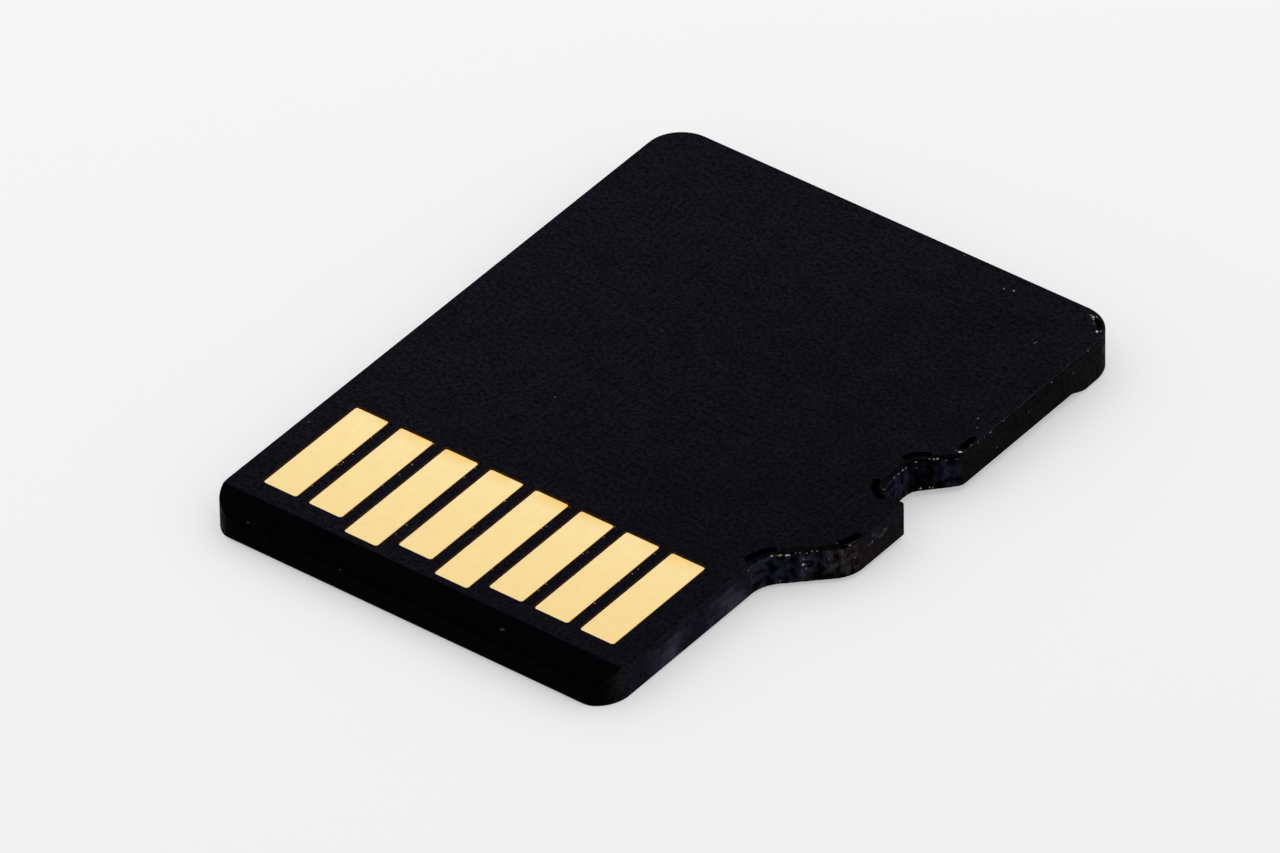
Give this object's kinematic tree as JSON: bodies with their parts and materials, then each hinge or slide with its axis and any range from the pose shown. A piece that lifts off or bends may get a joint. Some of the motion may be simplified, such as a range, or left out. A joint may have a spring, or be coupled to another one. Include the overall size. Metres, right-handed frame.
{
  "type": "memory card",
  "caption": "Thin black memory card with a row of gold contacts, a bevelled nose, a stepped and notched side edge and a raised grip ridge on the label side.",
  "frame": {"origin": "under the middle of the card, on the plane of the grip ridge's flat top", "axes": "+X towards the notched side, +Y from the nose to the rear edge, +Z out of the contact face"},
  "size_m": [0.011, 0.015, 0.001],
  "materials": {
    "moulding": "fine matt black epoxy moulding",
    "solder_mask": "satin blue-black solder mask over glass-fibre laminate",
    "contact_gold": "satin gold plating, finely brushed along the card",
    "silicon": "polished thinned silicon",
    "die_film": "matt adhesive film",
    "capacitor": "matt ceramic with tinned ends",
    "wire_gold": "bright drawn gold"
  },
  "bodies": {
    "root": {"mould_body": "moulding", "contact_board": "solder_mask", "contact_1": "contact_gold", "contact_2": "contact_gold", "contact_3": "contact_gold", "contact_4": "contact_gold", "contact_5": "contact_gold", "contact_6": "contact_gold", "contact_7": "contact_gold", "contact_8": "contact_gold", "memory_die_1": "silicon", "memory_die_2": "silicon", "memory_film_1": "die_film", "memory_film_2": "die_film", "controller_die": "silicon", "controller_film": "die_film", "capacitor_1": "capacitor", "capacitor_2": "capacitor", "capacitor_3": "capacitor", "memory_wires_1": "wire_gold", "memory_wires_2": "wire_gold", "controller_wire_set": "wire_gold"}
  },
  "joints": []
}
